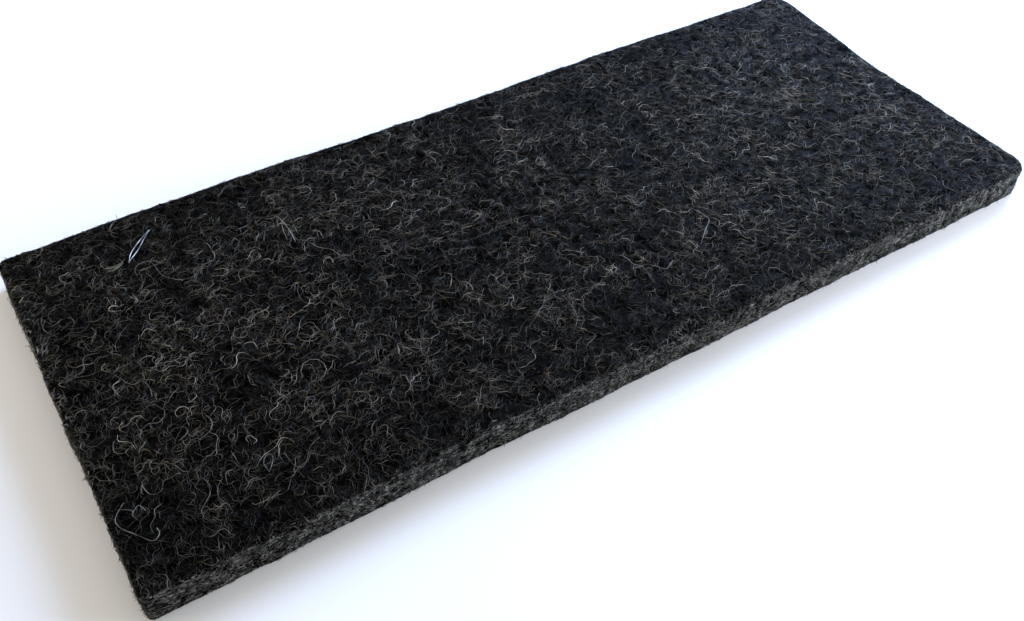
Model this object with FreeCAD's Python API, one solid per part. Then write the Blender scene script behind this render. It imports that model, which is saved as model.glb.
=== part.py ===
import FreeCAD, Part
import os

# Felt chalkboard eraser: one thick slab of pressed wool felt, held in the hand and
# rubbed flat on the board. It has no backing, handle, glue line or stitching.
#
# Frame: millimetres, +Z up. The slab lies on its broad face. The origin is under the
# middle of the slab's overall box, in the plane it rests on. +X runs along the length
# towards the end with two well rounded corners, and +Y runs across to the back edge.

# Driving dimensions
length = 146.6           # along X, to the sharp corners before they are rounded
width = 61.0             # along Y
thickness = 5.0          # one standard thickness of pressed wool felt

end_skew = 1.4           # how far the rounded end is cut back towards the front
end_bend_at = 0.55       # share of the width, from the front, where that cut starts

square_front_radius = 0.8    # plan corners at the end that was cut square
square_back_radius = 1.5
round_front_radius = 3.6     # plan corners at the rounded end
round_back_radius = 3.6

rim_radius = 0.6         # soft edge all round the two broad faces


def plan_corners():
    """The slab's four corners in plan, each with its rounding radius, front left first."""
    left, right = -length / 2, length / 2
    front, back = -width / 2, width / 2
    return [
        (left, front, square_front_radius),
        (right - end_skew, front, round_front_radius),
        (right, back, round_back_radius),
        (left, back, square_back_radius),
    ]


def slab_outline():
    """Closed plan outline: the four sharp corners and the bend in the rounded end."""
    points = [FreeCAD.Vector(x, y, 0) for x, y, radius in plan_corners()]
    bend = FreeCAD.Vector(length / 2 - end_skew, (end_bend_at - 0.5) * width, 0)
    points.insert(2, bend)
    return Part.makePolygon(points + points[:1])


def upright_edge_near(solid, x, y):
    """The upright edge of the solid that stands nearest to the plan point (x, y)."""
    uprights = [edge for edge in solid.Edges if edge.BoundBox.ZLength > thickness / 2]
    return min(uprights, key=lambda edge: (edge.CenterOfMass - FreeCAD.Vector(x, y, thickness / 2)).Length)


def felt_pad():
    """The slab: its outline raised to the felt's thickness, corners and rims rounded, centred."""
    slab = Part.Face(slab_outline()).extrude(FreeCAD.Vector(0, 0, thickness))
    for x, y, radius in plan_corners():
        slab = slab.makeFillet(radius, [upright_edge_near(slab, x, y)])
    rims = [edge for edge in slab.Edges if edge.BoundBox.ZLength < thickness / 2]
    slab = slab.makeFillet(rim_radius, rims)
    middle = slab.optimalBoundingBox(False).Center
    slab.translate(FreeCAD.Vector(-middle.x, -middle.y, 0))
    return slab


os.makedirs("parts", exist_ok=True)
pad = felt_pad()
pad.exportStep("parts/felt_pad.step")

box = pad.optimalBoundingBox(False)
print("felt_pad valid", pad.isValid(), "solids", len(pad.Solids), "volume_mm3", round(pad.Volume, 1))
print("low ", [round(v, 3) for v in (box.XMin, box.YMin, box.ZMin)])
print("high", [round(v, 3) for v in (box.XMax, box.YMax, box.ZMax)])
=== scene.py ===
import math

import bpy
import numpy as np
from bpy.props import FloatProperty, FloatVectorProperty, IntProperty, PointerProperty
from mathutils import Matrix, Vector


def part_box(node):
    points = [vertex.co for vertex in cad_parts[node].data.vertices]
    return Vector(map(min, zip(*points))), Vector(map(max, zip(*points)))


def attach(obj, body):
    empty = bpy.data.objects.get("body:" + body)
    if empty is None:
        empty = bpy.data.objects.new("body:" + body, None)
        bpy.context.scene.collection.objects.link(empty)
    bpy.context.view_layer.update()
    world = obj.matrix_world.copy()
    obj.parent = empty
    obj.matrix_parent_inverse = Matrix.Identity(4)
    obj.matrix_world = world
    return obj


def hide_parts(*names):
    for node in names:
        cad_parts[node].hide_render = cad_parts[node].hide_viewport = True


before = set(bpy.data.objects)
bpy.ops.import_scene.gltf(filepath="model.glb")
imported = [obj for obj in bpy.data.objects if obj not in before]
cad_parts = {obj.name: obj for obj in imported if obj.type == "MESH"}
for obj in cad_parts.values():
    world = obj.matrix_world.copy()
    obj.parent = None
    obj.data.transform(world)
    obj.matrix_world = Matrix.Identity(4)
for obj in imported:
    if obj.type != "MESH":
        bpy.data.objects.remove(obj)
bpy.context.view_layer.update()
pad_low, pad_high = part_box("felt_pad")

bl_info = {
    "name": "Felt Chalkboard Eraser",
    "version": (1, 0, 0),
    "blender": (4, 5, 0),
    "location": "3D View > Sidebar > Eraser",
    "description": "A slab of pressed wool felt with its tangle of loose fibres, on a pale stage",
    "category": "Add Mesh",
}

MM = 0.001
TINY = 1e-12   # keeps a division by a length of nothing defined
TURN = 2 * math.pi
QUARTER = math.pi / 2
ROOT = "root"
FLOOR_GAP = 0.02 * MM         # the felt's lowest point over the plane it lies on
FIBRE_FLOOR_GAP = 0.06 * MM   # the lowest line of a fibre, so that its underside clears that plane too


# Colours

def linear(code):
    """An sRGB hex colour as linear red, green and blue, by the sRGB curve's two stretches."""
    parts = [int(code[i:i + 2], 16) / 255 for i in (1, 3, 5)]
    return tuple(c / 12.92 if c <= 0.04045 else ((c + 0.055) / 1.055) ** 2.4 for c in parts)


# The melange: every fibre has one of these dyed colours, with its share of all fibres
WOOL_BLEND = [
    ("#040404", 0.13),   # black
    ("#232220", 0.18),   # charcoal
    ("#3f3e3b", 0.24),   # dark grey
    ("#585653", 0.21),   # grey
    ("#72706b", 0.15),   # ash
    ("#8b8882", 0.03),   # pale ash
    ("#2b313d", 0.03),   # slate blue
    ("#382a25", 0.02),   # rust brown
    ("#33311f", 0.01),   # olive
]


def colour_property(name, description, code):
    """A colour setting whose default is that sRGB hex colour."""
    return FloatVectorProperty(
        name=name, description=description, subtype="COLOR", min=0, max=1, default=linear(code)
    )


def length_property(name, description, metres):
    """A length setting, shown in the scene's unit."""
    return FloatProperty(
        name=name, description=description, default=metres, min=0, unit="LENGTH", precision=5
    )


# Settings that a user would change

class SlabSettings(bpy.types.PropertyGroup):
    nap: length_property("Nap", "Depth of loose fibre over the upper face", 0.12 * MM)
    under_nap: length_property("Under nap", "Depth of loose fibre under the lower face", 0.08 * MM)
    upper_rim: length_property("Upper rim radius", "Softness of the upper face's edge", 0.45 * MM)
    lower_rim: length_property("Lower rim radius", "Softness of the lower face's edge", 0.18 * MM)
    square_front: length_property("Square end, front corner", "Corner radius in plan", 0.8 * MM)
    square_back: length_property("Square end, back corner", "Corner radius in plan", 1.5 * MM)
    round_front: length_property("Round end, front corner", "Corner radius in plan", 3.0 * MM)
    round_back: length_property("Round end, back corner", "Corner radius in plan", 3.4 * MM)
    square_trim: length_property("Square end trim", "How far the square end is cut short", 0.2 * MM)
    side_fray: length_property("Side fray", "How far the long edges swell past the pad", 0.25 * MM)
    end_fray: length_property("End fray", "How far the round end swells past the pad", 0.7 * MM)
    end_skew: length_property("End skew", "How far the round end runs out at the back", 1.4 * MM)
    end_hollow: length_property("End hollow", "Dip in the middle of the round end", 0.30 * MM)
    back_wave: length_property("Back wave", "Height of the long waves in the back edge", 0.28 * MM)
    front_dent: length_property("Front dent", "Depth of the dent in the front edge", 0.35 * MM)
    cell: length_property("Mesh cell", "Side of one face of the felt's mesh", 0.48 * MM)
    relief: length_property("Relief", "Height of the faces' uneven surface", 0.10 * MM)
    cut_relief: length_property("Cut relief", "Height of the cut edges' uneven surface", 0.18 * MM)


class FibreSettings(bpy.types.PropertyGroup):
    radius: length_property("Fibre radius", "Drawn coarser than real wool, so that it shows", 0.024 * MM)
    curl: length_property("Curl radius", "Typical radius of a fibre's curls", 0.65 * MM)
    tangle_count: IntProperty(name="Tangle", description="Long fibres on the upper face", default=15000)
    fuzz_count: IntProperty(name="Fuzz", description="Short fibres on the upper face", default=17500)
    edge_count: IntProperty(name="Edge fibres", description="Cut fibres on the four edges", default=11000)
    under_count: IntProperty(name="Under fibres", description="Fibres on the lower face", default=2200)
    seed: IntProperty(name="Seed", description="Start of the random draws", default=7)


class FeltColours(bpy.types.PropertyGroup):
    deep: colour_property("Deep felt", "Felt in the gaps between fibres", "#030202")
    matted: colour_property("Matted felt", "Felt where fibres lie close under the surface", "#080604")
    strand: colour_property("Sunk strands", "Strands drawn in the felt itself", "#1e1e1d")
    cut_dark: colour_property("Cut edge, dark", "Gaps between fibre ends on the cut edges", "#010101")
    cut_pale: colour_property("Cut edge, pale", "Fibre ends on the cut edges", "#92918d")
    floor: colour_property("Floor", "Pale studio floor", "#f5f6f8")
    key: colour_property("Key light", "Sky light from beyond the round end", "#b2d2ff")
    door: colour_property("Door light", "Daylight on the front edge", "#e1edff")
    fill: colour_property("Fill light", "Soft light of the room", "#fffaf2")
    lamp: colour_property("Lamp light", "Lamp beyond the square end", "#fff1e0")


SETTINGS = {"eraser_slab": SlabSettings, "eraser_fibres": FibreSettings, "eraser_colours": FeltColours}


# Shape of the felt

# Layers of lattice noise: cell in mm, share and seed, from slow swells down to single tufts or locks
RELIEF_LAYERS = [(11.0, 1.0, 1), (3.6, 0.7, 2), (1.5, 0.6, 3), (0.7, 0.35, 4)]
TUFT_LAYERS = [(4.4, 0.30, 11), (2.3, 0.35, 12), (1.2, 0.35, 13)]

# The large numbers that scramble a lattice point's x, y and z, and its seed, and how many bits are kept
SCRAMBLE_X, SCRAMBLE_Y, SCRAMBLE_Z, SCRAMBLE_SEED = 374761393, 668265263, 974634777, 1274126177
KEPT_BITS, VALUE_BITS = 0xFFFFFFFF, 0xFFFFF

# The hand-cut outline. The round end's run-out and hollow are placed by their share of the width from
# the front, the back wave and the front dent by their distance from the square end.
RUN_OUT_START, RUN_OUT_SPAN = 0.56, 0.42
HOLLOW_AT, HOLLOW_SPREAD = 0.54, 0.16
WAVE_CREST, WAVE_LENGTH = 34 * MM, 70 * MM
WAVE_FADE_START, WAVE_FADE_SPAN = 0.80, 0.12
DENT_AT, DENT_SPREAD = 43 * MM, 7.5 * MM


def smooth_step(x):
    """0 below 0, 1 above 1, and a smooth S between them: three x squared less two x cubed."""
    x = np.clip(x, 0, 1)
    return x * x * (3 - 2 * x)


def between(low, high, x):
    """low where x is below 0, high where it is above 1, and a smooth step from one to the other."""
    return low + (high - low) * smooth_step(x)


def arch(at, power=1.0):
    """0 at both ends and 1 in the middle: the sine over half a turn, to a power that flattens its top."""
    return np.sin(math.pi * at) ** power


def bell(x, at, spread):
    """A bell curve, 1 at its middle: e to the minus square of the distance from there over the spread."""
    return np.exp(-(((x - at) / spread) ** 2))


def lattice_noise(points, cell, seed):
    """Smooth noise from -1 to 1: random numbers on a cubic lattice of that cell, blended by smooth steps.

    A lattice point's number comes from its three whole coordinates and the seed, scrambled by products
    with large numbers and by shifted bits."""
    scaled = points / cell
    low = np.floor(scaled).astype(np.int64)
    part = scaled - low
    part = part * part * (3 - 2 * part)
    total = np.zeros(points.shape[:-1])
    for corner in np.ndindex(2, 2, 2):
        at = low + np.array(corner)
        key = at[..., 0] * SCRAMBLE_X + at[..., 1] * SCRAMBLE_Y + at[..., 2] * SCRAMBLE_Z
        key = key + seed * SCRAMBLE_SEED
        key = (key ^ (key >> 13)) * SCRAMBLE_SEED & KEPT_BITS
        value = (key ^ (key >> 16)) & VALUE_BITS
        weight = np.prod(np.where(np.array(corner) == 1, part, 1 - part), axis=-1)
        total += weight * (value / VALUE_BITS * 2 - 1)
    return total


def layered_noise(points, layers):
    """The layers' lattice noises, each times its share, added up."""
    return sum(share * lattice_noise(points, cell * MM, seed) for cell, share, seed in layers)


class PadShape:
    """The felt's outside: a slab with four corner radii and soft rims, unfolded from its upper face.

    A point of the unfolded sheet is (u, v): plan position on the upper face, and past the outline
    the distance walked over the rim, down the edge, round the lower rim and in under the slab.
    """

    def __init__(self, sizes):
        self.sizes = sizes
        self.upper_rim, self.lower_rim = sizes.upper_rim, sizes.lower_rim
        self.left, self.right = pad_low.x + sizes.square_trim, pad_high.x - sizes.end_skew + sizes.end_fray
        self.front, self.back = pad_low.y - sizes.side_fray, pad_high.y + sizes.side_fray
        self.bottom, self.top = pad_low.z + sizes.under_nap, pad_high.z - sizes.nap
        self.middle = np.array([(self.left + self.right) / 2, (self.front + self.back) / 2])
        self.half = np.array([(self.right - self.left) / 2, (self.back - self.front) / 2])
        self.wall = self.top - self.bottom - self.upper_rim - self.lower_rim

    def corner_radius(self, u, v):
        """The plan radius of the corner in whose quarter of the slab (u, v) lies."""
        s = self.sizes
        at_round_end = np.where(v > self.middle[1], s.round_back, s.round_front)
        at_square_end = np.where(v > self.middle[1], s.square_back, s.square_front)
        return np.where(u > self.middle[0], at_round_end, at_square_end)

    def from_core(self, u, v):
        """The corner radius at (u, v), the nearest point of the core, which is the outline drawn in by
        that radius, and the direction and distance from that point to (u, v)."""
        radius = self.corner_radius(u, v)
        from_middle = np.stack([u, v], -1) - self.middle
        core = np.clip(from_middle, radius[..., None] - self.half, self.half - radius[..., None])
        out = from_middle - core
        reach = np.linalg.norm(out, axis=-1)
        return radius, core, out / np.maximum(reach, TINY)[..., None], reach

    def fold(self, u, v, lift):
        """Unfolded points and their height over the felt as points in space, with the outward normals.

        The nearest core point keeps its place. The distance past the rim's start turns into a quarter
        circle, a straight wall, a second quarter circle and a walk in under the slab.
        """
        radius, core, out, reach = self.from_core(u, v)
        walked = reach - radius + self.upper_rim
        past_wall = walked - QUARTER * self.upper_rim - self.wall
        upper = np.clip(walked / self.upper_rim, 0, QUARTER)
        down = np.clip(past_wall + self.wall, 0, self.wall)
        lower = np.clip(past_wall / self.lower_rim, 0, QUARTER)
        under = np.maximum(past_wall - QUARTER * self.lower_rim, 0)
        turn = upper + lower
        beyond = (
            np.minimum(walked, 0)
            - self.upper_rim * (1 - np.sin(upper))
            - self.lower_rim * (1 - np.cos(lower))
            - under
        )
        plan = self.middle + core + out * (radius + beyond)[..., None]
        height = self.top - self.upper_rim * (1 - np.cos(upper)) - down - self.lower_rim * np.sin(lower)
        normal = np.concatenate([out * np.sin(turn)[..., None], np.cos(turn)[..., None]], -1)
        point = np.concatenate([plan, height[..., None]], -1)
        return self.uneven(point, normal) + normal * lift[..., None], normal

    def uneven(self, point, normal):
        """Adds the felt's relief along the normal, then bends the plan to the hand-cut outline.

        Its height goes from the faces' relief to the cut edges' as the surface turns from level to upright.
        """
        cut = 1 - np.abs(normal[..., 2])
        height = self.relief(point) * (1 + (self.sizes.cut_relief / self.sizes.relief - 1) * cut)
        return self.cut_line(point + normal * height[..., None])

    def relief(self, point):
        """The faces' uneven height: four layers of noise, in proportion to the relief setting."""
        return self.sizes.relief * layered_noise(point, RELIEF_LAYERS)

    def cut_line(self, point):
        """Bends the plan. The round end runs out by a smooth step and is hollowed by a bell curve, both
        growing with the distance from the square end. The back edge has a cosine wave that fades out by a
        smooth step, and the front edge a bell-shaped dent, and both fade out across the width."""
        s = self.sizes
        x, y = point[..., 0], point[..., 1]
        along = np.clip((x - self.left) / (self.right - self.left), 0, 1)
        across = np.clip((y - self.front) / (self.back - self.front), 0, 1)
        run_out = s.end_skew * smooth_step((across - RUN_OUT_START) / RUN_OUT_SPAN)
        hollow = s.end_hollow * bell(across, HOLLOW_AT, HOLLOW_SPREAD)
        wave = s.back_wave * np.cos(TURN * (x - self.left - WAVE_CREST) / WAVE_LENGTH)
        wave = wave * (1 - smooth_step((along - WAVE_FADE_START) / WAVE_FADE_SPAN))
        dent = s.front_dent * bell(x - self.left, DENT_AT, DENT_SPREAD)
        moved = point.copy()
        moved[..., 0] = x + along * (run_out - hollow)
        moved[..., 1] = y + across * wave + (1 - across) * dent
        return moved


# Making meshes and materials

def new_piece(name, points, quads, tris=None, colours=None, cut=None):
    """A mesh object of those points, four-cornered faces and three-cornered faces, shaded smooth.

    Its points carry the fibres' colours or their share of the cut edges' pattern where those are given."""
    tris = np.empty((0, 3), np.int64) if tris is None else tris
    mesh = bpy.data.meshes.new(name)
    mesh.vertices.add(len(points))
    mesh.vertices.foreach_set("co", np.ascontiguousarray(points, np.float32).ravel())
    corners = np.concatenate([quads.ravel(), tris.ravel()])
    totals = np.concatenate([np.full(len(quads), 4), np.full(len(tris), 3)])
    mesh.loops.add(len(corners))
    mesh.loops.foreach_set("vertex_index", corners.astype(np.int32))
    mesh.polygons.add(len(totals))
    starts = np.concatenate([[0], np.cumsum(totals)[:-1]])
    mesh.polygons.foreach_set("loop_start", starts.astype(np.int32))
    mesh.polygons.foreach_set("use_smooth", np.ones(len(totals), bool))
    if colours is not None:
        layer = mesh.color_attributes.new(name="wool", type="FLOAT_COLOR", domain="POINT")
        full = np.concatenate([colours, np.ones((len(colours), 1))], 1)
        layer.data.foreach_set("color", full.astype(np.float32).ravel())
    if cut is not None:
        mesh.attributes.new(name="cut", type="FLOAT", domain="POINT").data.foreach_set("value", cut)
    mesh.update(calc_edges=True)
    mesh.validate()
    piece = bpy.data.objects.new(name, mesh)
    bpy.context.scene.collection.objects.link(piece)
    return piece


def add_node(tree, kind, settings=None, links=None, output=0):
    """Adds a node, sets its attributes or unlinked sockets, links its inputs and gives back one output."""
    node = tree.nodes.new(kind)
    for key, value in (settings or {}).items():
        if isinstance(key, str) and hasattr(node, key):
            setattr(node, key, value)
        else:
            node.inputs[key].default_value = value
    for key, source in (links or {}).items():
        tree.links.new(source, node.inputs[key])
    return node.outputs[output] if node.outputs else node


def new_material(name):
    """A material with an empty node tree, and that tree."""
    material = bpy.data.materials.new(name)
    material.use_nodes = True
    material.node_tree.nodes.clear()
    return material, material.node_tree


def shown(colour):
    """The colour as a node's socket takes it, with full opacity."""
    return (*colour, 1.0)


def speckle(tree, place, grain, low, high, detail=2.0):
    """Noise of that grain in mm, stretched so that its values from low to high run from 0 to 1."""
    noise = add_node(
        tree, "ShaderNodeTexNoise", {"Scale": 1 / (grain * MM), "Detail": detail, "Roughness": 0.6},
        {"Vector": place}, "Fac",
    )
    return add_node(tree, "ShaderNodeMapRange", {"From Min": low, "From Max": high}, {"Value": noise})


def strand_lines(tree, place, curls, width):
    """Curling strands: the thin lines along which a noise of each curl in mm passes through its middle.

    Each curl has a noise shifted to a place of its own, and the palest strand shows where they cross."""
    strands = None
    for number, curl in enumerate(curls):
        shift = (0.31 * number, 0.17 * number, 0.4)
        shifted = add_node(tree, "ShaderNodeMapping", {"Location": shift}, {"Vector": place})
        noise = add_node(
            tree, "ShaderNodeTexNoise", {"Scale": 1 / (curl * MM), "Detail": 1.0, "Distortion": 0.6},
            {"Vector": shifted}, "Fac",
        )
        above = add_node(tree, "ShaderNodeMath", {"operation": "SUBTRACT", 1: 0.5}, {0: noise})
        gap = add_node(tree, "ShaderNodeMath", {"operation": "ABSOLUTE"}, {0: above})
        line = add_node(
            tree, "ShaderNodeMapRange", {"From Max": width, "To Min": 1.0, "To Max": 0.0}, {"Value": gap}
        )
        strands = line if strands is None else add_node(
            tree, "ShaderNodeMath", {"operation": "MAXIMUM"}, {0: strands, 1: line}
        )
    return strands


def pressed_felt(colours):
    """Pressed wool felt, carded, steamed and fulled, then cut.

    Its upper face is black in the pits between sunk strands, with slightly raised locks. Its cut edges are
    paler, a salt and pepper of fibre ends drawn out along the layers, in clumps, and the lower face is a
    blend of the two. Where it is seen at a low angle, the sky shows in the locks as a faint blue haze.
    Strands and fibre ends are drawn coarser than real ones, which would be too fine to show."""
    material, tree = new_material("pressed_wool_felt")
    place = add_node(tree, "ShaderNodeTexCoord", output="Object")
    strands = strand_lines(tree, place, curls=(2.2, 1.6, 1.2), width=0.022)
    locks = speckle(tree, place, grain=1.7, low=0.40, high=0.60, detail=4.0)
    mat = add_node(
        tree, "ShaderNodeMix", {"data_type": "RGBA", 6: shown(colours.deep), 7: shown(colours.matted)},
        {0: locks}, 2,
    )
    shows = add_node(tree, "ShaderNodeMapRange", {"To Min": 0.25}, {"Value": locks})
    drawn = add_node(tree, "ShaderNodeMath", {"operation": "MULTIPLY"}, {0: strands, 1: shows})
    face = add_node(
        tree, "ShaderNodeMix", {"data_type": "RGBA", 7: shown(colours.strand)}, {0: drawn, 6: mat}, 2
    )

    flattening = 2.4
    layered = add_node(tree, "ShaderNodeMapping", {"Scale": (1.0, 1.0, flattening)}, {"Vector": place})
    ends = speckle(tree, layered, grain=0.58, low=0.53, high=0.63, detail=3.0)
    sliced = strand_lines(tree, layered, curls=(1.3, 0.9), width=0.04)
    broken = add_node(tree, "ShaderNodeMath", {"operation": "MULTIPLY"}, {0: sliced, 1: locks})
    either = add_node(tree, "ShaderNodeMath", {"operation": "MAXIMUM"}, {0: broken, 1: ends})
    clumps = add_node(tree, "ShaderNodeMapRange", {"To Min": 0.4}, {"Value": locks})
    pale = add_node(tree, "ShaderNodeMath", {"operation": "MULTIPLY"}, {0: either, 1: clumps})
    cut_face = add_node(
        tree, "ShaderNodeMix", {"data_type": "RGBA", 6: shown(colours.cut_dark), 7: shown(colours.cut_pale)},
        {0: pale}, 2,
    )
    cut = add_node(tree, "ShaderNodeAttribute", {"attribute_name": "cut"}, output="Fac")
    colour = add_node(tree, "ShaderNodeMix", {"data_type": "RGBA"}, {0: cut, 6: face, 7: cut_face}, 2)

    lock_rise, bump_depth = 3.0, 0.10 * MM
    fine = add_node(tree, "ShaderNodeMath", {"operation": "ADD"}, {0: strands, 1: ends})
    height = add_node(
        tree, "ShaderNodeMath", {"operation": "MULTIPLY_ADD", 1: lock_rise}, {0: locks, 2: fine}
    )
    bump = add_node(tree, "ShaderNodeBump", {"Strength": 0.9, "Distance": bump_depth}, {"Height": height})
    haze = add_node(tree, "ShaderNodeMapRange", {"To Min": 0.001, "To Max": 0.019}, {"Value": locks})
    shader = add_node(
        tree, "ShaderNodeBsdfPrincipled", {"Roughness": 0.5},
        {"Base Color": colour, "Normal": bump, "Specular IOR Level": haze},
    )
    add_node(tree, "ShaderNodeOutputMaterial", links={"Surface": shader})
    return material


def melange_wool():
    """Dyed wool fibre: a scaly strand with a faint gloss, in its own dye of the melange.

    Locks a millimetre or two across are paler and glossier, and the hollows between them darker and dull,
    so that the nap shows light and dark tufts."""
    material, tree = new_material("melange_wool_fibre")
    place = add_node(tree, "ShaderNodeTexCoord", output="Object")
    # The wool attribute holds each fibre's dye together with its painted shade and painted warm light
    dye = add_node(tree, "ShaderNodeAttribute", {"attribute_name": "wool"}, output="Color")
    locks = speckle(tree, place, grain=1.6, low=0.36, high=0.64)
    gain = add_node(tree, "ShaderNodeMapRange", {"To Min": 0.40, "To Max": 1.75}, {"Value": locks})
    colour = add_node(tree, "ShaderNodeVectorMath", {"operation": "SCALE"}, {0: dye, "Scale": gain})
    gloss = add_node(tree, "ShaderNodeMapRange", {"To Min": 0.04, "To Max": 0.36}, {"Value": locks})
    shader = add_node(
        tree, "ShaderNodeBsdfPrincipled", {"Roughness": 0.5, "IOR": 1.55},
        {"Base Color": colour, "Specular IOR Level": gloss},
    )
    add_node(tree, "ShaderNodeOutputMaterial", links={"Surface": shader})
    return material


# The felt slab

# Rows of faces round a plan corner, over the upper rim, down the edge and round the lower rim
CORNER_ROWS, RIM_ROWS, WALL_ROWS, LOWER_RIM_ROWS = 8, 4, 9, 3

# How soon the rim takes on the cut edges' pattern, and that pattern's share on the lower face, where
# few loose fibres cover the felt
CUT_SHARPNESS = 1.5
UNDER_PALENESS = 0.35


def slab_mesh(shape):
    """Points and faces of the slab, with each point's share of the cut edges' pattern.

    The upper face is a grid whose columns run between the two ends' curves, so that its border is the
    outline itself. The lower face is the same grid seen from below, and rings round the border, worked
    out by the fold, join the two.
    """
    cell, rim = shape.sizes.cell, shape.upper_rim
    inset_front, inset_back = shape.front + rim, shape.back - rim
    bend = max(shape.sizes.round_front, shape.sizes.round_back) - rim
    arc = bend * (1 - np.cos(np.linspace(0, QUARTER, CORNER_ROWS + 1)))
    straight = inset_back - inset_front - 2 * bend
    even_rows = np.linspace(0, straight, round(straight / cell) + 1)[1:-1] + inset_front + bend
    rows = np.concatenate([inset_front + arc, even_rows, inset_back - arc[::-1]])
    columns = round((shape.right - shape.left) / cell) + 1

    def end_of_row(sign):
        """Where each row meets the inset outline: straight, or on the circle of the nearer corner."""
        side = shape.middle[0] + sign * MM
        radius = shape.corner_radius(np.full(len(rows), side), rows) - rim
        to_edge = np.minimum(rows - inset_front, inset_back - rows)
        short = np.maximum(radius - to_edge, 0)
        inset_end = shape.half[0] - rim
        return shape.middle[0] + sign * (inset_end - radius + np.sqrt(np.maximum(radius**2 - short**2, 0)))

    share = np.linspace(0, 1, columns)[:, None]
    u = end_of_row(-1)[None] * (1 - share) + end_of_row(1)[None] * share
    v = np.broadcast_to(rows[None], u.shape)
    count_u, count_v = u.shape
    number = np.arange(count_u * count_v).reshape(count_u, count_v)
    loop = np.concatenate([number[:, 0], number[-1, 1:], number[-2::-1, -1], number[0, -2:0:-1]])
    flat_u, flat_v = u.ravel(), v.ravel()
    zero = np.zeros(u.size)
    upper, _ = shape.fold(flat_u, flat_v, zero)

    radius, core, out, _ = shape.from_core(flat_u[loop], flat_v[loop])
    over = np.linspace(0, QUARTER * rim, RIM_ROWS + 1)[1:]
    wall = over[-1] + np.linspace(0, shape.wall, WALL_ROWS + 1)[1:]
    round_under = wall[-1] + np.linspace(0, QUARTER * shape.lower_rim, LOWER_RIM_ROWS + 1)[1:]
    walks = np.concatenate([over, wall, round_under])
    past = shape.middle + core[None] + out[None] * (radius[None, :] - rim + walks[:, None])[..., None]
    rings, ring_normals = shape.fold(past[..., 0], past[..., 1], np.zeros(past.shape[:2]))

    level = np.stack([flat_u, flat_v, np.full(u.size, shape.bottom)], -1)
    down = np.tile([0.0, 0.0, -1.0], (u.size, 1))
    lower = shape.uneven(level, down)
    lower[loop] = rings[-1]
    belt = rings[:-1].reshape(-1, 3)

    points = np.concatenate([upper, belt, lower])
    points[:, 2] = np.maximum(points[:, 2], pad_low.z + FLOOR_GAP)
    under = zero + UNDER_PALENESS
    cut = np.concatenate([zero, 1 - np.abs(ring_normals[:-1, :, 2]).ravel(), under])
    grid = np.stack([number[:-1, :-1], number[1:, :-1], number[1:, 1:], number[:-1, 1:]], -1).reshape(-1, 4)
    first_lower = len(upper) + len(belt)
    ring_numbers = np.concatenate([
        loop[None],
        len(upper) + np.arange(len(belt)).reshape(len(walks) - 1, len(loop)),
        first_lower + loop[None],
    ])
    after = np.roll(ring_numbers, -1, axis=1)
    sides = np.stack([ring_numbers[:-1], ring_numbers[1:], after[1:], after[:-1]], -1).reshape(-1, 4)
    quads = np.concatenate([grid, sides, first_lower + grid[:, ::-1]])
    return points, quads, smooth_step(cut * CUT_SHARPNESS).astype(np.float32)


class ERASER_OT_felt_slab(bpy.types.Operator):
    """Makes the dense felt slab and lets it stand for the CAD pad"""

    bl_idname = "eraser.felt_slab"
    bl_label = "Felt slab"

    def execute(self, context):
        scene = context.scene
        points, quads, cut = slab_mesh(PadShape(scene.eraser_slab))
        slab = new_piece("felt_slab", points, quads, cut=cut)
        slab.data.materials.append(pressed_felt(scene.eraser_colours))
        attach(slab, ROOT)
        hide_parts("felt_pad")
        return {"FINISHED"}


# Loose fibres

SIDES = 3   # corners of a fibre's tube in section

# What a fibre's dye is multiplied by, from the darkest to the palest: its own tone, or painted shade where
# that is said
OWN_SHADE = (0.75, 1.30)      # drawn for each fibre
TUFT_SHADE = (0.55, 1.45)     # from bald patches to tufts
FRONT_SHADE = (0.74, 1.02)    # painted shade, from the front edge inwards, over FRONT_BAND
BACK_SHADE = (0.64, 1.00)     # painted shade, from the back edge inwards, over BACK_BAND
TANGLE_SHADE = (0.38, 1.40)   # painted shade, from long fibres that lie deep to those on top
FUZZ_SHADE = (0.18, 1.10)     # painted shade, from short fibres that lie deep to those on top
EDGE_SHADE = (0.30, 1.45)     # painted shade, from fibres pressed into the cut to those that stand out of it
CORNER_DARKENING = 0.38            # taken off round the square end's front corner
PAINTED_WARM_LIGHT = np.array([0.03, 0.0, -0.08])   # painted warm light, added to red, green and blue at the square end
BROWNER = np.array([1.15, 1.0, 0.78])      # the short fibres' dye against the long ones'

# How far the painted shade along the long edges, the darkening round the corner and the painted warm light
# reach over the face
FRONT_BAND, BACK_BAND, CORNER_REACH, WARM_LIGHT_REACH = 11 * MM, 17 * MM, 20 * MM, 60 * MM

SHADE_CONTRAST, SPREAD_CONTRAST = 1.4, 1.2   # how sharply tufts stand out by shade and by number
BALD_SHARE = 0.40     # how thickly fibres lie in a bald patch, against 1.40 in a tuft
SHARPEST = 0.7        # the largest turn of a fibre at one of its points, in radians
THIN_END = 0.35       # a fibre's radius at its ends, against its middle


def tuft_noise(start):
    """From about -1 in a bald patch to 1 in a tuft."""
    flat = np.concatenate([start, np.zeros((len(start), 1))], 1)
    return layered_noise(flat, TUFT_LAYERS)


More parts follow.
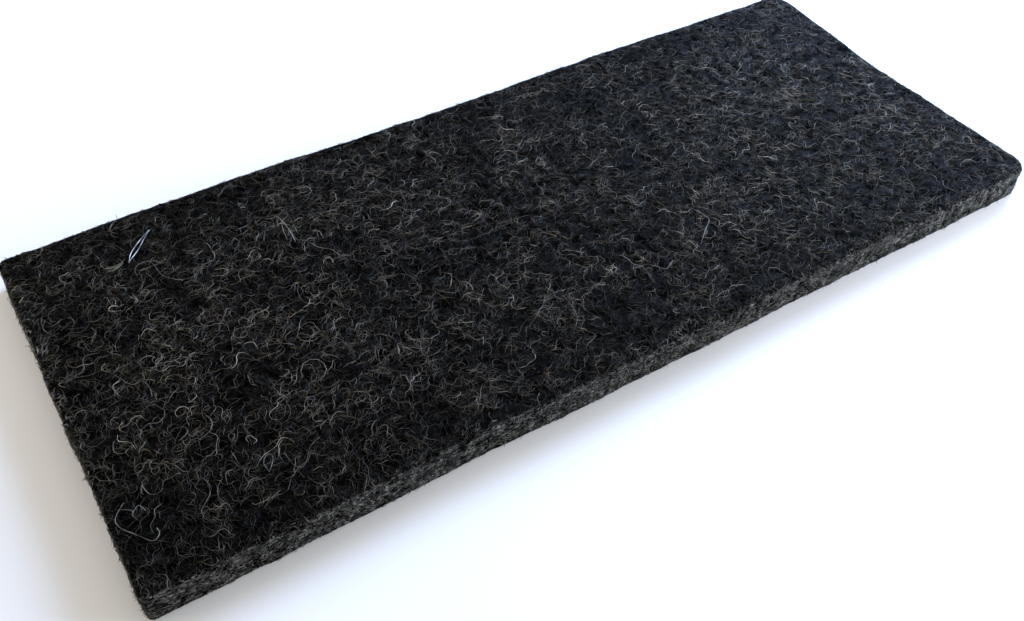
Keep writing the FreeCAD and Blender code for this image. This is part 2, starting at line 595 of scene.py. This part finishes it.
def dyed_with_painted_light(random, start):
    """One colour of the blend for each fibre, drawn by its share and shaded by its own draw and its tuft.

    The fibres are darker along the felt's two long edges, which is painted shade, and by a bell curve
    round the square end's front corner. Warm light is painted on them, strongest at the square end."""
    palette = np.array([linear(code) for code, _ in WOOL_BLEND])
    shares = np.array([share for _, share in WOOL_BLEND])
    picked = palette[random.choice(len(palette), len(start), p=shares / shares.sum())]
    depth = random.uniform(*OWN_SHADE, len(start))
    tuft = between(*TUFT_SHADE, 0.5 + SHADE_CONTRAST * tuft_noise(start))
    # Painted shade along the front and back edges, fading inwards over their bands
    front = between(*FRONT_SHADE, (start[:, 1] - pad_low.y) / FRONT_BAND)
    back = between(*BACK_SHADE, (pad_high.y - start[:, 1]) / BACK_BAND)
    from_corner = np.linalg.norm(start - [pad_low.x, pad_low.y], axis=-1)
    corner = 1 - CORNER_DARKENING * bell(from_corner, 0, CORNER_REACH)
    # Painted warm light, strongest at the square end and gone past its reach
    warm_lit = between(1, 0, (start[:, :1] - pad_low.x) / WARM_LIGHT_REACH)
    return picked * (1 + warm_lit * PAINTED_WARM_LIGHT) * (depth * tuft * front * back * corner)[:, None]


def curly_paths(random, start, length, curl, segments):
    """Fibre lines on the unfolded sheet: the heading turns at a steady rate plus one slow wave of turning.

    Each fibre has its own curl radius, steady rate and wave, so that some nearly close into rings, some
    are open hooks and some snake."""
    count = len(start)
    step = (length / segments)[:, None]
    at = np.linspace(0, 1, segments)[None]
    curl = curl * random.lognormal(0.05, 0.30, (count, 1))
    steady = random.normal(0, 0.55, (count, 1)) / curl
    swing = random.uniform(0.3, 1.7, (count, 1)) / curl
    waves = random.uniform(0.6, 2.0, (count, 1))
    phase = random.uniform(0, TURN, (count, 1))
    heading = random.uniform(0, TURN, (count, 1))
    turning = steady + swing * np.sin(TURN * waves * at + phase)
    heading = heading + np.cumsum(np.clip(turning * step, -SHARPEST, SHARPEST), axis=1)
    walk_u = np.cumsum(np.cos(heading) * step, axis=1)
    walk_v = np.cumsum(np.sin(heading) * step, axis=1)
    zero = np.zeros((count, 1))
    u = start[:, :1] + np.concatenate([zero, walk_u], 1)
    v = start[:, 1:] + np.concatenate([zero, walk_v], 1)
    return u, v


def tufted(random, low, high, count):
    """Start points spread evenly, then thinned by the tuft noise, so that tufts and bald patches show."""
    tried = random.uniform(low, high, (2 * count, 2))
    weight = BALD_SHARE + smooth_step(0.5 + SPREAD_CONTRAST * tuft_noise(tried))
    return tried[random.choice(2 * count, count, replace=False, p=weight / weight.sum())]


def tapered(random, count, points, radius):
    """Radius along each fibre: an arch from thin ends to a full middle, times the fibre's own thickness."""
    at = np.linspace(0, 1, points)[None]
    own = np.clip(random.lognormal(0, 0.22, (count, 1)), 0.6, 1.5) * radius
    return own * (THIN_END + (1 - THIN_END) * arch(at, 0.5))


def tubes(centre, normal, radius):
    """Closed tubes along rows of points: a ring of points square to each line, rings joined by quads.

    centre is (fibres, points, 3), normal the surface's normal there and radius (fibres, points)."""
    fibres, count = radius.shape
    tangent = np.gradient(centre, axis=1)
    tangent /= np.maximum(np.linalg.norm(tangent, axis=-1, keepdims=True), TINY)
    side = np.cross(normal, tangent)
    side /= np.maximum(np.linalg.norm(side, axis=-1, keepdims=True), TINY)
    up = np.cross(tangent, side)
    angles = QUARTER + np.arange(SIDES) * TURN / SIDES
    ring = side[:, :, None] * np.cos(angles)[:, None] + up[:, :, None] * np.sin(angles)[:, None]
    points = centre[:, :, None] + ring * radius[:, :, None, None]
    number = np.arange(fibres * count * SIDES).reshape(fibres, count, SIDES)
    turned = np.roll(number, -1, axis=2)
    quads = np.stack([number[:, :-1], turned[:, :-1], turned[:, 1:], number[:, 1:]], -1).reshape(-1, 4)
    caps = np.concatenate([number[:, 0, ::-1], number[:, -1]])
    return points.reshape(-1, 3), quads, caps


def make_fibres(name, centre, normal, radius, colours, material):
    """One piece of many fibres, each tube in its own colour."""
    points, quads, caps = tubes(centre, normal, radius)
    per_point = np.repeat(colours, centre.shape[1] * SIDES, axis=0)
    piece = new_piece(name, points, quads, caps, per_point)
    piece.data.materials.append(material)
    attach(piece, ROOT)
    return piece


def in_pieces(name, parts, order, centre, normal, radius, colours, material):
    """Shares fibres among that many pieces, equally, by their rank in that order."""
    share = np.argsort(np.argsort(order)) * parts // len(order)
    return [
        make_fibres(f"{name}_{k + 1}", centre[share == k], normal[share == k], radius[share == k],
                    colours[share == k], material)
        for k in range(parts)
    ]


def tangle(context, material):
    """Long fibres on the upper face: each dives in at both ends, arches up and bobs over its neighbours.

    Those that lie deep are darker, because the ones above keep the light off them, and those near the
    outline lie lower."""
    settings, shape = context.scene.eraser_fibres, PadShape(context.scene.eraser_slab)
    random = np.random.default_rng(settings.seed)
    count, segments, parts = settings.tangle_count, 8, 4
    root_depth, calm_band, top = 0.06 * MM, 2.5 * MM, 0.30 * MM
    start = tufted(random, shape.middle - shape.half, shape.middle + shape.half, count)
    length = random.gamma(4.0, 0.62, count) * MM + 0.8 * MM
    u, v = curly_paths(random, start, length, settings.curl, segments)
    u = u - (u.mean(1) - start[:, 0])[:, None]
    v = v - (v.mean(1) - start[:, 1])[:, None]
    at = np.linspace(0, 1, segments + 1)[None]
    inside = np.min(shape.half - np.abs(start - shape.middle), axis=1, keepdims=True)
    calm = between(0.25, 1, inside / calm_band)
    rise = random.gamma(2.0, 0.09, (count, 1)) * MM
    bob = random.uniform(0.02, 0.10, (count, 1)) * MM
    wave = np.sin(TURN * (at * random.uniform(1, 3, (count, 1)) + random.uniform(0, 1, (count, 1))))
    lift = calm * rise * arch(at, 0.7) + bob * wave - root_depth
    centre, normal = shape.fold(u, v, lift)
    radius = tapered(random, count, segments + 1, settings.radius)
    colours = dyed_with_painted_light(random, start) * between(*TANGLE_SHADE, rise / top)
    return in_pieces("tangle", parts, start[:, 0], centre, normal, radius, colours, material)


def fuzz(context, material):
    """Short thin fibres that lie in low arches among the roots of the tangle, browner than it is.

    The deeper they lie, the less light they catch."""
    settings, shape = context.scene.eraser_fibres, PadShape(context.scene.eraser_slab)
    random = np.random.default_rng(settings.seed + 3)
    count, segments, parts = settings.fuzz_count, 6, 4
    tighter, thinner, top = 0.8, 0.9, 0.12 * MM
    start = tufted(random, shape.middle - shape.half, shape.middle + shape.half, count)
    length = random.uniform(0.9, 3.0, count) * MM
    u, v = curly_paths(random, start, length, tighter * settings.curl, segments)
    at = np.linspace(0, 1, segments + 1)[None]
    rise = random.uniform(-0.02, 0.12, (count, 1)) * MM
    centre, normal = shape.fold(u, v, rise * arch(at))
    radius = tapered(random, count, segments + 1, thinner * settings.radius)
    colours = dyed_with_painted_light(random, start) * BROWNER * between(*FUZZ_SHADE, rise / top)
    return in_pieces("fuzz", parts, start[:, 0], centre, normal, radius, colours, material)


def edge_fibres(context, material):
    """Short cut fibres on the four edges, lying every way with one end standing out of the cut.

    Each starts at a distance walked round the outline and at a distance down from it."""
    settings, shape = context.scene.eraser_fibres, PadShape(context.scene.eraser_slab)
    random = np.random.default_rng(settings.seed + 1)
    count, segments, parts = settings.edge_count, 4, 2
    onto_face, root_depth, top = 1.1 * MM, 0.05 * MM, 0.26 * MM
    tighter, thicker, late = 0.5, 1.2, 1.5
    low, high = shape.middle - shape.half, shape.middle + shape.half
    span = high - low
    walk = random.uniform(0, 2 * span.sum(), count)
    down = random.uniform(-onto_face, shape.wall + shape.upper_rim, count)
    corners = np.cumsum([span[0], span[1], span[0]])
    sides = [walk < corners[0], walk < corners[1], walk < corners[2]]
    along = walk - np.select(sides, [0, corners[0], corners[1]], corners[2])
    u = np.select(sides, [low[0] + along, high[0] + down, high[0] - along], low[0] - down)
    v = np.select(sides, [low[1] - down, low[1] + along, high[1] + down], high[1] - along)
    length = random.uniform(0.4, 1.5, count) * MM
    start = np.stack([u, v], -1)
    u, v = curly_paths(random, start, length, tighter * settings.curl, segments)
    at = np.linspace(0, 1, segments + 1)[None]
    end = random.gamma(2.0, 0.08, (count, 1)) * MM
    hump = random.uniform(0.02, 0.10, (count, 1)) * MM
    centre, normal = shape.fold(u, v, end * at**late + hump * arch(at) - root_depth)
    centre[..., 2] = np.maximum(centre[..., 2], pad_low.z + FIBRE_FLOOR_GAP)
    radius = tapered(random, count, segments + 1, thicker * settings.radius)
    # Painted shade: fibres pressed into the cut are darker than those that stand out of it
    colours = dyed_with_painted_light(random, start) * between(*EDGE_SHADE, end / top)
    return in_pieces("edge_fibres", parts, walk, centre, normal, radius, colours, material)


def under_fibres(context, material):
    """Fibres on the lower face, pressed flat in the thin gap between the felt and what it lies on."""
    settings, shape = context.scene.eraser_fibres, PadShape(context.scene.eraser_slab)
    random = np.random.default_rng(settings.seed + 2)
    count, segments = settings.under_count, 5
    border, root_depth = 1.5 * MM, 0.04 * MM
    inset = shape.half - border
    low, high = shape.middle - inset, shape.middle + inset
    start = random.uniform(low, high, (count, 2))
    length = random.uniform(2.2, 5.0, count) * MM
    u, v = curly_paths(random, start, length, settings.curl, segments)
    u, v = np.clip(u, low[0], high[0]), np.clip(v, low[1], high[1])
    at = np.linspace(0, 1, segments + 1)[None]
    lift = random.uniform(0.04, 0.14, (count, 1)) * MM * arch(at) - root_depth
    down = np.broadcast_to([0.0, 0.0, -1.0], (*u.shape, 3))
    level = np.stack([u, v, np.full(u.shape, shape.bottom)], -1)
    centre = shape.uneven(level, down) + down * lift[..., None]
    centre[..., 2] = np.maximum(centre[..., 2], pad_low.z + FIBRE_FLOOR_GAP)
    radius = tapered(random, count, segments + 1, settings.radius)
    return in_pieces("under_fibres", 1, start[:, 0], centre, down, radius, dyed_with_painted_light(random, start), material)


# Hairs that stand out: colour, radius in mm, and a line of points in mm from the square end's front corner
STRAY_HAIRS = [
    ("#c3c8ce", 0.055, [(20.4, 56.2), (18.4, 54.5), (16.75, 52.8), (15.8, 51.2)]),
    ("#c3c8ce", 0.055, [(20.4, 56.2), (19.4, 54.9), (17.5, 52.6), (15.8, 51.2)]),
    ("#8a8e90", 0.045, [(91.9, 19.6), (92.3, 17.4), (92.3, 16.1), (90.2, 14.5), (87.9, 12.7)]),
    ("#6f6e6a", 0.050,
     [(2.8, 12.8), (1.3, 11.0), (1.5, 9.5), (2.6, 7.9), (3.9, 6.1), (4.9, 6.6), (4.9, 7.7)]),
    ("#64635f", 0.045, [(1.9, 12.2), (3.3, 11.1), (3.1, 10.5), (3.4, 9.8)]),
    ("#7a7873", 0.040, [(3.2, 10.9), (4.1, 11.4), (4.6, 10.5)]),
    ("#8d8c89", 0.055, [(37.5, 48.9), (37.7, 46.0), (37.6, 43.0)]),
    ("#7b7a77", 0.045, [(37.4, 47.8), (36.9, 45.8), (36.7, 43.9)]),
    ("#7b7a77", 0.045, [(39.3, 41.8), (40.0, 40.0), (41.3, 38.7), (41.9, 37.2)]),
    ("#94938f", 0.038, [(18.2, 13.4), (18.1, 13.9), (18.6, 14.1), (18.9, 13.6), (19.1, 13.0), (18.5, 12.8)]),
    ("#7f7d78", 0.045, [(17.6, 9.6), (18.9, 10.5), (20.6, 10.9), (21.6, 11.7), (22.3, 11.4), (22.9, 10.5)]),
    ("#5c605f", 0.048, [(18.6, 8.1), (18.5, 9.5), (19.3, 10.4), (19.8, 9.9), (19.4, 9.0), (18.6, 8.1)]),
    ("#77767a", 0.040, [(76.2, 17.0), (76.7, 15.9), (76.7, 14.4), (77.5, 13.2), (77.4, 11.6), (77.2, 10.0)]),
    ("#77767a", 0.040, [(75.8, 13.8), (77.2, 13.4), (78.3, 13.3), (79.2, 12.2), (80.2, 11.1), (82.3, 12.2)]),
    ("#727272", 0.036, [(64.6, 14.6), (64.6, 13.0), (64.3, 11.2), (63.8, 9.8), (62.8, 8.6)]),
    ("#6a6a68", 0.036, [(62.6, 15.8), (61.6, 14.5), (60.3, 13.6), (58.8, 12.6), (57.6, 12.0)]),
    ("#72716f", 0.036, [(56.6, 20.9), (56.6, 19.5), (57.2, 18.2), (58.5, 17.7)]),
    ("#6c6b68", 0.036, [(6.1, 39.3), (6.4, 37.3), (7.6, 36.9), (8.7, 35.6), (9.5, 34.9)]),
    ("#6c6b68", 0.036, [(7.9, 32.0), (9.1, 29.3), (10.5, 29.0), (10.9, 27.5), (10.7, 26.1)]),
    ("#706f6c", 0.036, [(18.1, 50.3), (18.6, 48.8), (18.9, 46.1), (20.1, 44.5), (21.1, 43.9)]),
    ("#5d5c59", 0.045, [(25.8, 9.6), (24.1, 8.7), (23.1, 7.3), (22.1, 6.6), (21.4, 7.5), (21.2, 9.8)]),
]


def smooth_line(points, samples):
    """A line through every point: on each span, the Catmull-Rom cubic of the span's ends and neighbours."""
    points = np.array(points)
    padded = np.concatenate([2 * points[:1] - points[1:2], points, 2 * points[-1:] - points[-2:-1]])
    at = np.linspace(0, len(points) - 1, samples)
    span = np.minimum(at.astype(int), len(points) - 2)
    t = (at - span)[:, None]
    before, start, end, after = (padded[span + k] for k in range(4))
    return 0.5 * (
        2 * start + (end - before) * t + (2 * before - 5 * start + 4 * end - after) * t**2
        + (3 * start - before - 3 * end + after) * t**3
    )


def stray_hairs(context, material):
    """The few coarse hairs that lie loose on top of the tangle, with their ends worked into it."""
    shape = PadShape(context.scene.eraser_slab)
    samples, top = 28, 0.32 * MM
    lines = np.array([smooth_line(points, samples) for _, _, points in STRAY_HAIRS]) * MM
    u, v = pad_low.x + lines[..., 0], pad_low.y + lines[..., 1]
    lift = top * arch(np.linspace(0, 1, samples), 0.4)
    centre, normal = shape.fold(u, v, np.broadcast_to(lift, u.shape))
    radius = np.array([radius for _, radius, _ in STRAY_HAIRS])[:, None] * MM * np.ones(samples)
    colours = np.array([linear(code) for code, _, _ in STRAY_HAIRS])
    return [make_fibres("stray_hairs", centre, normal, radius, colours, material)]


class ERASER_OT_loose_fibres(bpy.types.Operator):
    """Makes the tangle of wool fibres on the slab's faces and edges"""

    bl_idname = "eraser.loose_fibres"
    bl_label = "Loose fibres"

    def execute(self, context):
        slab = bpy.data.objects.get("felt_slab")
        if slab is None:
            raise RuntimeError("make the felt slab before its loose fibres")
        wool = melange_wool()
        makers = (tangle, fuzz, stray_hairs, edge_fibres, under_fibres)
        pieces = [piece for maker in makers for piece in maker(context, wool)]
        return {"FINISHED"}


# The stage

FLOOR_HALF = 2.5        # metres, from the middle to each side
WORLD_STRENGTH = 0.56

# Soft square lights: name, point aimed at, direction of the light from there, its distance, its side,
# its power in watts, and its colour in the settings. Lengths are in metres.
LIGHTS = [
    ("doorway", (0.100, -0.03, 0), (0.55, -0.85, 0.40), 0.15, 0.14, 0.64, "door"),
    ("window", (0.080, -0.005, 0), (0.826, 0.563, 0.60), 0.28, 0.20, 2.8, "key"),
    ("lamp", (-0.07, 0.02, 0), (-0.8, 0.35, 0.6), 0.20, 0.15, 0.14, "lamp"),
]

# The camera: where it stands, and its turn from straight across the slab, tip down and roll in degrees
CAMERA_PLACE = Vector((-70.2, -95.5, 106.2)) * MM
CAMERA_AZIMUTH, CAMERA_DOWN, CAMERA_ROLL = 33.87, 46.22, 2.10
SENSOR_WIDTH, FOCAL_LENGTH = 36.0, 36.25   # both in mm


def area_light(name, aim, direction, distance, side, power, colour):
    """A square soft light at that distance from aim in that direction, facing it."""
    light = bpy.data.lights.new(name, "AREA")
    light.shape = "SQUARE"
    light.size = side
    light.energy = power
    light.color = colour
    lamp = bpy.data.objects.new(name, light)
    towards = Vector(direction).normalized()
    turn = towards.to_track_quat("Z", "Y").to_matrix().to_4x4()
    lamp.matrix_world = Matrix.Translation(Vector(aim) + towards * distance) @ turn
    bpy.context.scene.collection.objects.link(lamp)


def eraser_camera():
    """A camera over the square end, looking down along the slab, tipped a little to one side."""
    azimuth, down, roll = (math.radians(angle) for angle in (CAMERA_AZIMUTH, CAMERA_DOWN, CAMERA_ROLL))
    across, along = math.sin(azimuth) * math.cos(down), math.cos(azimuth) * math.cos(down)
    forward = Vector((across, along, -math.sin(down)))
    level = forward.cross(Vector((0, 0, 1))).normalized()
    upright = level.cross(forward)
    right = level * math.cos(roll) + upright * math.sin(roll)
    up = right.cross(forward)
    data = bpy.data.cameras.new("eraser_camera")
    data.sensor_width = SENSOR_WIDTH
    data.lens = FOCAL_LENGTH
    data.clip_start = 0.005
    camera = bpy.data.objects.new("eraser_camera", data)
    turn = Matrix((right, up, -forward)).transposed().to_4x4()
    camera.matrix_world = Matrix.Translation(CAMERA_PLACE) @ turn
    bpy.context.scene.collection.objects.link(camera)
    bpy.context.scene.camera = camera


class ERASER_OT_stage(bpy.types.Operator):
    """Makes the pale floor, the soft lights and the camera"""

    bl_idname = "eraser.stage"
    bl_label = "Stage"

    def execute(self, context):
        scene, colours = context.scene, context.scene.eraser_colours
        corners = np.array([[-1, -1, 0], [1, -1, 0], [1, 1, 0], [-1, 1, 0]]) * FLOOR_HALF
        floor = new_piece("floor", corners, np.array([[0, 1, 2, 3]]))
        material, tree = new_material("matt_studio_card")
        shader = add_node(
            tree, "ShaderNodeBsdfPrincipled",
            {"Base Color": shown(colours.floor), "Roughness": 0.9, "Specular IOR Level": 0.1},
        )
        add_node(tree, "ShaderNodeOutputMaterial", links={"Surface": shader})
        floor.data.materials.append(material)

        world = bpy.data.worlds.new("studio")
        world.use_nodes = True
        backdrop = world.node_tree.nodes["Background"]
        backdrop.inputs["Color"].default_value = shown(colours.fill)
        backdrop.inputs["Strength"].default_value = WORLD_STRENGTH
        scene.world = world
        scene.view_settings.view_transform = "Standard"

        for name, aim, direction, distance, side, power, colour in LIGHTS:
            area_light(name, aim, direction, distance, side, power, getattr(colours, colour))
        eraser_camera()
        return {"FINISHED"}


class ERASER_PT_panel(bpy.types.Panel):
    """Shows the buttons that make the eraser's pieces, and their settings, in the 3D view's sidebar"""

    bl_idname = "ERASER_PT_panel"
    bl_label = "Felt eraser"
    bl_space_type = "VIEW_3D"
    bl_region_type = "UI"
    bl_category = "Eraser"

    def draw(self, context):
        for operator in OPERATORS:
            self.layout.operator(operator.bl_idname)
        for name, group in SETTINGS.items():
            box = self.layout.box()
            settings = getattr(context.scene, name)
            for key in group.__annotations__:
                box.prop(settings, key)


OPERATORS = (ERASER_OT_felt_slab, ERASER_OT_loose_fibres, ERASER_OT_stage)
CLASSES = (*SETTINGS.values(), *OPERATORS, ERASER_PT_panel)


def register():
    for cls in CLASSES:
        bpy.utils.register_class(cls)
    for name, group in SETTINGS.items():
        setattr(bpy.types.Scene, name, PointerProperty(type=group))


def unregister():
    for name in SETTINGS:
        delattr(bpy.types.Scene, name)
    for cls in reversed(CLASSES):
        bpy.utils.unregister_class(cls)


def main():
    register()
    bpy.ops.eraser.stage()
    bpy.ops.eraser.felt_slab()
    bpy.ops.eraser.loose_fibres()


if __name__ == "__main__":
    main()
